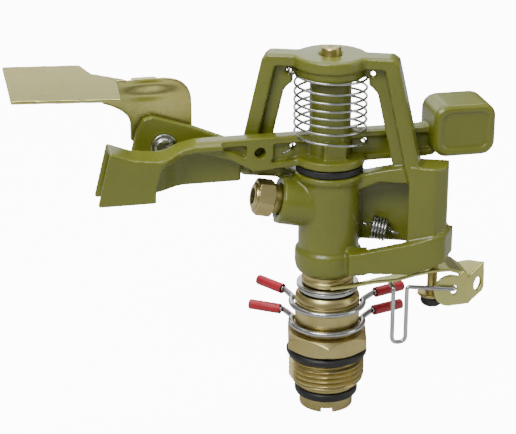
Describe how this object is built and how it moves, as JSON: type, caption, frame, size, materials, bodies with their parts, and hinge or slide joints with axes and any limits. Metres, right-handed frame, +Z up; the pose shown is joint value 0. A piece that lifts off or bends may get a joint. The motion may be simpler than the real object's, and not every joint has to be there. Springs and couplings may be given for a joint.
{
  "type": "impact sprinkler",
  "caption": "Part-circle impact sprinkler on a male threaded inlet, with a sprung drive arm, spoon, counterweight, deflector flap, trip lever and two stop collars.",
  "frame": {"origin": "on the rotation axis, at the lower end of the bearing tube, in the end plane of the inlet", "axes": "+Z up along the rotation axis; the jet leaves towards -X and the counterweight lies towards +X; +Y is away from the side the trip lever faces"},
  "size_m": [0.161, 0.0441, 0.1299],
  "materials": {
    "paint": "glossy olive green enamel on a zinc alloy die casting",
    "brass": "turned brass",
    "passivated_sheet": "pale gold passivated zinc on pressed steel sheet",
    "steel": "bright zinc plated wire and sheet",
    "rubber": "matt black rubber",
    "vinyl": "soft red vinyl tube"
  },
  "bodies": {
    "inlet": {"inlet_nipple": "brass", "hex_seal": "rubber", "slip_washer": "brass", "foot_seal": "rubber", "bearing_spring": "steel", "spring_seat": "steel", "lower_thrust_washer": "steel", "upper_thrust_washer": "steel"},
    "rotor": {"bearing_tube": "brass", "thrust_ring": "brass", "body_casting": "paint", "range_nozzle": "brass", "fulcrum_pin": "brass", "pivot_washer": "rubber", "arm_spring": "steel", "flap_screw": "steel", "flap_nut": "steel", "trip_post": "brass", "rubber_bumper": "rubber", "over_centre_spring": "steel"},
    "upper_collar": {"upper_collar_wire": "steel", "upper_left_grip": "vinyl", "upper_right_grip": "vinyl"},
    "lower_collar": {"lower_collar_wire": "steel", "lower_left_grip": "vinyl", "lower_right_grip": "vinyl"},
    "arm": {"drive_arm": "paint", "arm_bush": "brass"},
    "flap": {"deflector_flap": "passivated_sheet"},
    "trip": {"trip_lever": "passivated_sheet"},
    "hairpin": {"trip_wire": "steel"}
  },
  "joints": [
    {"name": "body_turn", "type": "hinge", "parent": "inlet", "child": "rotor", "pos_m": [0, 0, 0.05], "axis": [0, 0, 1], "range_deg": [-140, 22]},
    {"name": "upper_collar_turn", "type": "hinge", "parent": "inlet", "child": "upper_collar", "pos_m": [0, 0, 0.0388], "axis": [0, 0, 1], "range_deg": [-10, 10]},
    {"name": "lower_collar_turn", "type": "hinge", "parent": "inlet", "child": "lower_collar", "pos_m": [0, 0, 0.0315], "axis": [0, 0, 1], "range_deg": [-10, 10]},
    {"name": "arm_swing", "type": "hinge", "parent": "rotor", "child": "arm", "pos_m": [0, 0, 0.1], "axis": [0, 0, 1], "range_deg": [0, 90], "stiffness_Nm_per_rad": 0.05, "springref_deg": -20.05},
    {"name": "flap_tilt", "type": "hinge", "parent": "rotor", "child": "flap", "pos_m": [-0.0552, 0.0108, 0.09722], "axis": [0, 1, 0], "range_deg": [-35, 0]},
    {"name": "trip_toggle", "type": "hinge", "parent": "rotor", "child": "trip", "pos_m": [0.0355, -0.007, 0.05], "axis": [0, 0, 1], "range_deg": [0, 12]},
    {"name": "trip_wire_lift", "type": "hinge", "parent": "trip", "child": "hairpin", "pos_m": [0.0414, -0.0144, 0.04542], "axis": [0.9933, 0, -0.1151], "range_deg": [-30, 0]}
  ]
}
